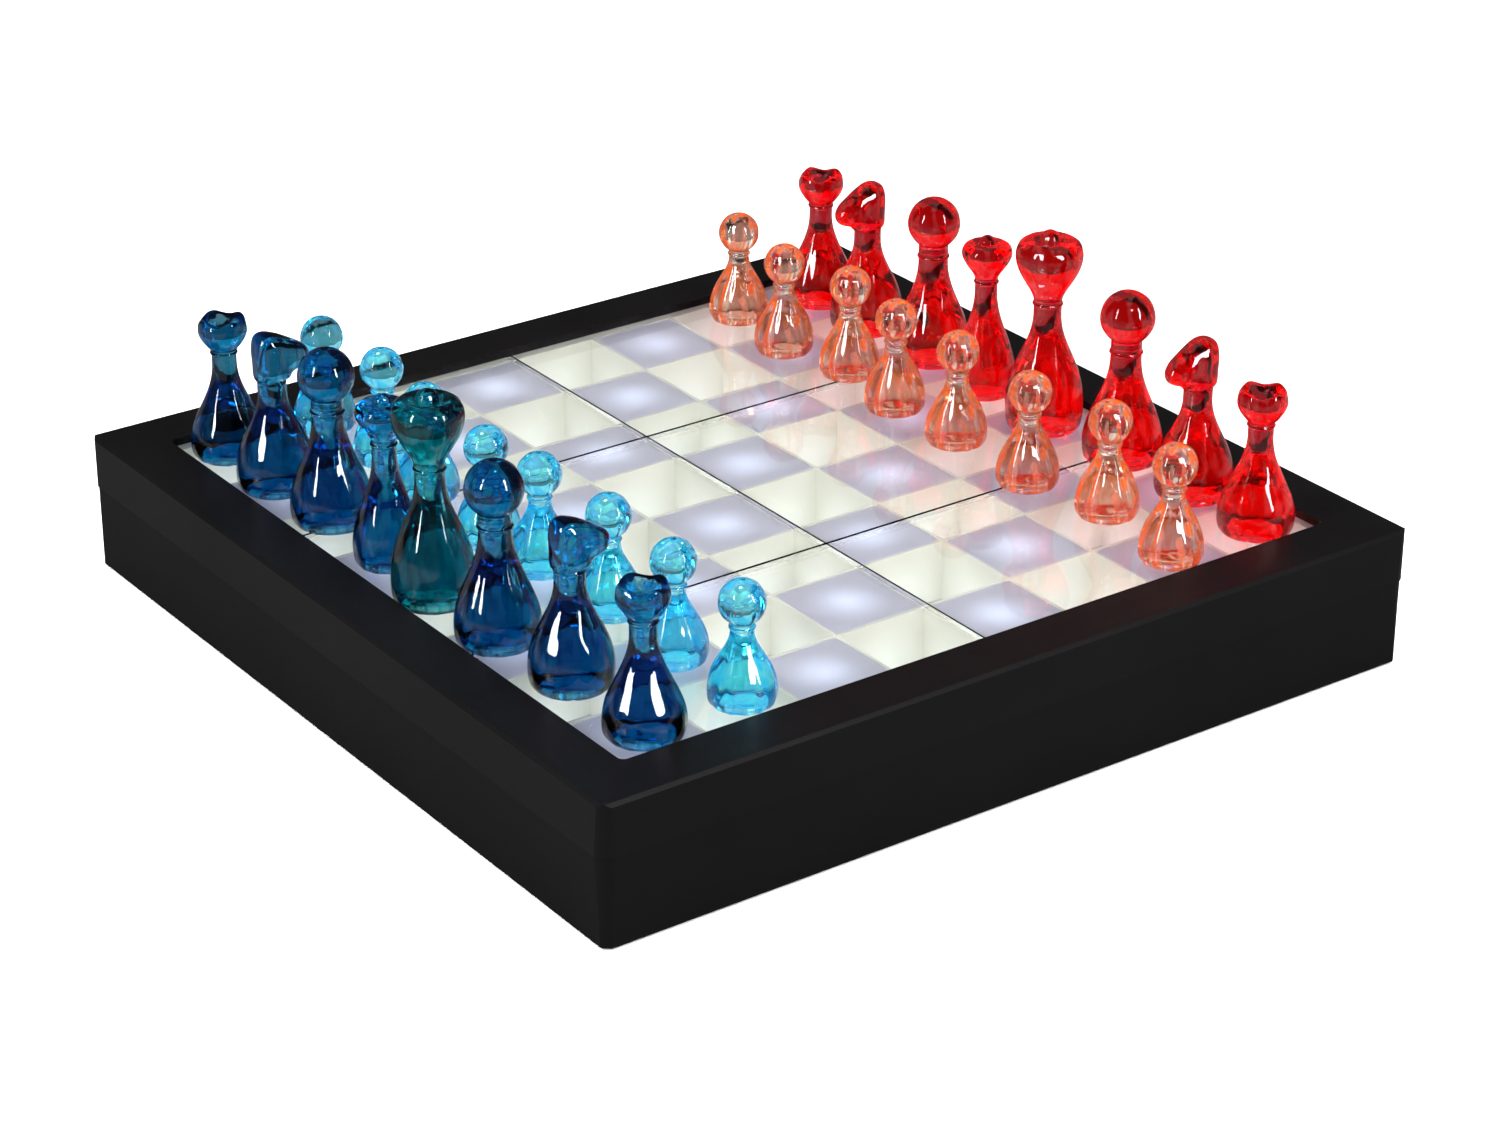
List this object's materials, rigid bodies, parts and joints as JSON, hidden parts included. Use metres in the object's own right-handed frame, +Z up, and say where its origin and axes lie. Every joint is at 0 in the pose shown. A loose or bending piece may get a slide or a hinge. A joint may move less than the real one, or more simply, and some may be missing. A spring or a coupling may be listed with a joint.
{
  "type": "electronic chess computer",
  "caption": "Square black electronic chess board with lit clear and frosted squares under clear plates, and matching sets of tinted see-through chess pieces.",
  "frame": {"origin": "middle of the underside, on the table plane under the feet", "axes": "+Z up; +X along the files from a to h; +Y along the ranks from 1 (blue side) to 8 (red side)"},
  "size_m": [0.35, 0.35, 0.1303],
  "materials": {
    "black_shell": "fine grain, matt",
    "foot_rubber": "soft, matt",
    "screw_steel": "zinc plated",
    "clear_plate": "clear polished acrylic",
    "frosted_tile": "frosted acrylic, satin",
    "ivory_grid": "smooth, diffuse white",
    "white_circuit_board": "white solder mask, satin",
    "led_lens": "milky lens, lit",
    "black_chip": "moulded, matt",
    "dark_plastic": "moulded, satin",
    "battery_label": "printed sleeve, plain",
    "nickel_plate": "nickel plated, satin",
    "red_lead": "insulated wire",
    "circuit_board": "solder mask, satin",
    "control_black": "satin black",
    "navy_acrylic": "clear dyed acrylic, polished",
    "teal_acrylic": "clear dyed acrylic, polished",
    "cyan_acrylic": "clear dyed acrylic, polished",
    "ruby_acrylic": "clear dyed acrylic, polished",
    "blush_acrylic": "clear lightly dyed acrylic, polished"
  },
  "bodies": {
    "housing": {"upper_shell": "black_shell", "lower_shell": "black_shell", "rubber_feet": "foot_rubber", "shell_screws": "screw_steel", "plate_front_left": "clear_plate", "plate_front_middle": "clear_plate", "plate_front_right": "clear_plate", "plate_back_left": "clear_plate", "plate_back_middle": "clear_plate", "plate_back_right": "clear_plate", "frosted_tiles": "frosted_tile", "light_grid": "ivory_grid", "led_board": "white_circuit_board", "leds": "led_lens", "square_sensors": "black_chip", "processor_chip": "black_chip", "driver_chips": "black_chip", "sounder": "dark_plastic", "battery_cells": "battery_label", "battery_contacts": "nickel_plate", "battery_leads": "red_lead", "control_board": "circuit_board", "switch_body": "nickel_plate", "key_switches": "dark_plastic"},
    "door": {"battery_door": "black_shell"},
    "slider": {"power_slider": "control_black"},
    "game_key": {"new_game_key": "control_black"},
    "skill_key": {"level_key": "control_black"},
    "blue_rook_a_piece": {"blue_rook_a": "navy_acrylic"},
    "blue_knight_b_piece": {"blue_knight_b": "navy_acrylic"},
    "blue_bishop_c_piece": {"blue_bishop_c": "navy_acrylic"},
    "blue_queen_d_piece": {"blue_queen_d": "navy_acrylic"},
    "blue_king_e_piece": {"blue_king_e": "teal_acrylic"},
    "blue_bishop_f_piece": {"blue_bishop_f": "navy_acrylic"},
    "blue_knight_g_piece": {"blue_knight_g": "navy_acrylic"},
    "blue_rook_h_piece": {"blue_rook_h": "navy_acrylic"},
    "blue_pawn_a_piece": {"blue_pawn_a": "cyan_acrylic"},
    "blue_pawn_b_piece": {"blue_pawn_b": "cyan_acrylic"},
    "blue_pawn_c_piece": {"blue_pawn_c": "cyan_acrylic"},
    "blue_pawn_d_piece": {"blue_pawn_d": "cyan_acrylic"},
    "blue_pawn_e_piece": {"blue_pawn_e": "cyan_acrylic"},
    "blue_pawn_f_piece": {"blue_pawn_f": "cyan_acrylic"},
    "blue_pawn_g_piece": {"blue_pawn_g": "cyan_acrylic"},
    "blue_pawn_h_piece": {"blue_pawn_h": "cyan_acrylic"},
    "red_rook_a_piece": {"red_rook_a": "ruby_acrylic"},
    "red_knight_b_piece": {"red_knight_b": "ruby_acrylic"},
    "red_bishop_c_piece": {"red_bishop_c": "ruby_acrylic"},
    "red_queen_d_piece": {"red_queen_d": "ruby_acrylic"},
    "red_king_e_piece": {"red_king_e": "ruby_acrylic"},
    "red_bishop_f_piece": {"red_bishop_f": "ruby_acrylic"},
    "red_knight_g_piece": {"red_knight_g": "ruby_acrylic"},
    "red_rook_h_piece": {"red_rook_h": "ruby_acrylic"},
    "red_pawn_a_piece": {"red_pawn_a": "blush_acrylic"},
    "red_pawn_b_piece": {"red_pawn_b": "blush_acrylic"},
    "red_pawn_c_piece": {"red_pawn_c": "blush_acrylic"},
    "red_pawn_d_piece": {"red_pawn_d": "blush_acrylic"},
    "red_pawn_e_piece": {"red_pawn_e": "blush_acrylic"},
    "red_pawn_f_piece": {"red_pawn_f": "blush_acrylic"},
    "red_pawn_g_piece": {"red_pawn_g": "blush_acrylic"},
    "red_pawn_h_piece": {"red_pawn_h": "blush_acrylic"}
  },
  "joints": [
    {"name": "door_slide", "type": "slide", "parent": "housing", "child": "door", "axis": [0, 1, 0], "range_m": [0, 0.058]},
    {"name": "power_slide", "type": "slide", "parent": "housing", "child": "slider", "axis": [0, -1, 0], "range_m": [0, 0.003]},
    {"name": "game_key_press", "type": "slide", "parent": "housing", "child": "game_key", "axis": [1, 0, 0], "range_m": [0, 0.0008], "stiffness_N_per_m": 300},
    {"name": "skill_key_press", "type": "slide", "parent": "housing", "child": "skill_key", "axis": [1, 0, 0], "range_m": [0, 0.0008], "stiffness_N_per_m": 300},
    {"name": "blue_rook_a_lift", "type": "slide", "parent": "housing", "child": "blue_rook_a_piece", "axis": [0, 0, 1], "range_m": [0, 0.1]},
    {"name": "blue_knight_b_lift", "type": "slide", "parent": "housing", "child": "blue_knight_b_piece", "axis": [0, 0, 1], "range_m": [0, 0.1]},
    {"name": "blue_bishop_c_lift", "type": "slide", "parent": "housing", "child": "blue_bishop_c_piece", "axis": [0, 0, 1], "range_m": [0, 0.1]},
    {"name": "blue_queen_d_lift", "type": "slide", "parent": "housing", "child": "blue_queen_d_piece", "axis": [0, 0, 1], "range_m": [0, 0.1]},
    {"name": "blue_king_e_lift", "type": "slide", "parent": "housing", "child": "blue_king_e_piece", "axis": [0, 0, 1], "range_m": [0, 0.1]},
    {"name": "blue_bishop_f_lift", "type": "slide", "parent": "housing", "child": "blue_bishop_f_piece", "axis": [0, 0, 1], "range_m": [0, 0.1]},
    {"name": "blue_knight_g_lift", "type": "slide", "parent": "housing", "child": "blue_knight_g_piece", "axis": [0, 0, 1], "range_m": [0, 0.1]},
    {"name": "blue_rook_h_lift", "type": "slide", "parent": "housing", "child": "blue_rook_h_piece", "axis": [0, 0, 1], "range_m": [0, 0.1]},
    {"name": "blue_pawn_a_lift", "type": "slide", "parent": "housing", "child": "blue_pawn_a_piece", "axis": [0, 0, 1], "range_m": [0, 0.1]},
    {"name": "blue_pawn_b_lift", "type": "slide", "parent": "housing", "child": "blue_pawn_b_piece", "axis": [0, 0, 1], "range_m": [0, 0.1]},
    {"name": "blue_pawn_c_lift", "type": "slide", "parent": "housing", "child": "blue_pawn_c_piece", "axis": [0, 0, 1], "range_m": [0, 0.1]},
    {"name": "blue_pawn_d_lift", "type": "slide", "parent": "housing", "child": "blue_pawn_d_piece", "axis": [0, 0, 1], "range_m": [0, 0.1]},
    {"name": "blue_pawn_e_lift", "type": "slide", "parent": "housing", "child": "blue_pawn_e_piece", "axis": [0, 0, 1], "range_m": [0, 0.1]},
    {"name": "blue_pawn_f_lift", "type": "slide", "parent": "housing", "child": "blue_pawn_f_piece", "axis": [0, 0, 1], "range_m": [0, 0.1]},
    {"name": "blue_pawn_g_lift", "type": "slide", "parent": "housing", "child": "blue_pawn_g_piece", "axis": [0, 0, 1], "range_m": [0, 0.1]},
    {"name": "blue_pawn_h_lift", "type": "slide", "parent": "housing", "child": "blue_pawn_h_piece", "axis": [0, 0, 1], "range_m": [0, 0.1]},
    {"name": "red_rook_a_lift", "type": "slide", "parent": "housing", "child": "red_rook_a_piece", "axis": [0, 0, 1], "range_m": [0, 0.1]},
    {"name": "red_knight_b_lift", "type": "slide", "parent": "housing", "child": "red_knight_b_piece", "axis": [0, 0, 1], "range_m": [0, 0.1]},
    {"name": "red_bishop_c_lift", "type": "slide", "parent": "housing", "child": "red_bishop_c_piece", "axis": [0, 0, 1], "range_m": [0, 0.1]},
    {"name": "red_queen_d_lift", "type": "slide", "parent": "housing", "child": "red_queen_d_piece", "axis": [0, 0, 1], "range_m": [0, 0.1]},
    {"name": "red_king_e_lift", "type": "slide", "parent": "housing", "child": "red_king_e_piece", "axis": [0, 0, 1], "range_m": [0, 0.1]},
    {"name": "red_bishop_f_lift", "type": "slide", "parent": "housing", "child": "red_bishop_f_piece", "axis": [0, 0, 1], "range_m": [0, 0.1]},
    {"name": "red_knight_g_lift", "type": "slide", "parent": "housing", "child": "red_knight_g_piece", "axis": [0, 0, 1], "range_m": [0, 0.1]},
    {"name": "red_rook_h_lift", "type": "slide", "parent": "housing", "child": "red_rook_h_piece", "axis": [0, 0, 1], "range_m": [0, 0.1]},
    {"name": "red_pawn_a_lift", "type": "slide", "parent": "housing", "child": "red_pawn_a_piece", "axis": [0, 0, 1], "range_m": [0, 0.1]},
    {"name": "red_pawn_b_lift", "type": "slide", "parent": "housing", "child": "red_pawn_b_piece", "axis": [0, 0, 1], "range_m": [0, 0.1]},
    {"name": "red_pawn_c_lift", "type": "slide", "parent": "housing", "child": "red_pawn_c_piece", "axis": [0, 0, 1], "range_m": [0, 0.1]},
    {"name": "red_pawn_d_lift", "type": "slide", "parent": "housing", "child": "red_pawn_d_piece", "axis": [0, 0, 1], "range_m": [0, 0.1]},
    {"name": "red_pawn_e_lift", "type": "slide", "parent": "housing", "child": "red_pawn_e_piece", "axis": [0, 0, 1], "range_m": [0, 0.1]},
    {"name": "red_pawn_f_lift", "type": "slide", "parent": "housing", "child": "red_pawn_f_piece", "axis": [0, 0, 1], "range_m": [0, 0.1]},
    {"name": "red_pawn_g_lift", "type": "slide", "parent": "housing", "child": "red_pawn_g_piece", "axis": [0, 0, 1], "range_m": [0, 0.1]},
    {"name": "red_pawn_h_lift", "type": "slide", "parent": "housing", "child": "red_pawn_h_piece", "axis": [0, 0, 1], "range_m": [0, 0.1]}
  ]
}
